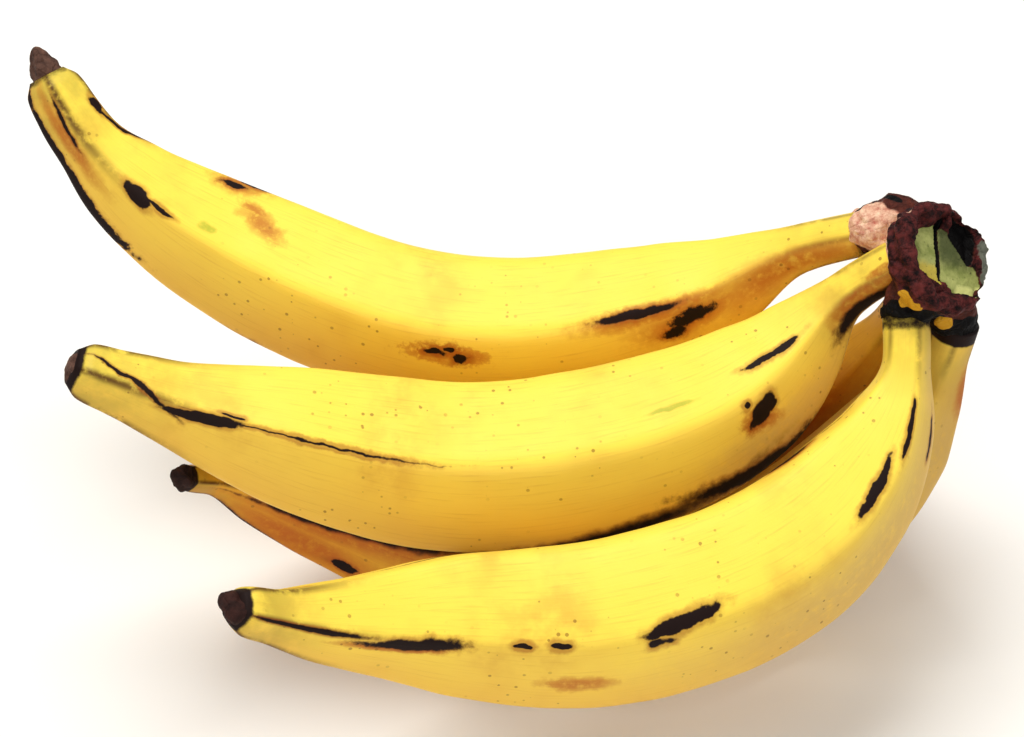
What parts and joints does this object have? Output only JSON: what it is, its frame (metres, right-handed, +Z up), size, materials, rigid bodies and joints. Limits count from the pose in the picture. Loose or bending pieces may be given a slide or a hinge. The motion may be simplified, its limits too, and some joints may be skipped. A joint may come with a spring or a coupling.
{
  "type": "plantain hand",
  "caption": "Cut hand of ripe yellow plantains joined at one crown, lying on a flat surface with long curved ridged fruits fanning out in two rows.",
  "frame": {"origin": "on the ground under the middle of the hand's bounding box", "axes": "+Z up; +X towards the crown, with the flower ends of the fruits at -X; +Y towards the side of the upper left fruit, seen along +X"},
  "size_m": [0.2875, 0.1967, 0.1388],
  "materials": {
    "crown_bark": "dry brown fibrous crown skin with an olive-green cut face",
    "peel_upper_left": "satin ripe yellow peel with brown bruises",
    "peel_upper_middle": "satin ripe yellow peel with dark ridge lines",
    "peel_upper_right": "satin ripe yellow peel with black streaks",
    "peel_lower_left": "satin orange-yellow peel",
    "peel_lower_right": "satin yellow peel with tan bruises"
  },
  "bodies": {
    "root": {"crown": "crown_bark", "plantain_upper_left": "peel_upper_left", "plantain_upper_middle": "peel_upper_middle", "plantain_upper_right": "peel_upper_right", "plantain_lower_left": "peel_lower_left", "plantain_lower_right": "peel_lower_right"}
  },
  "joints": []
}
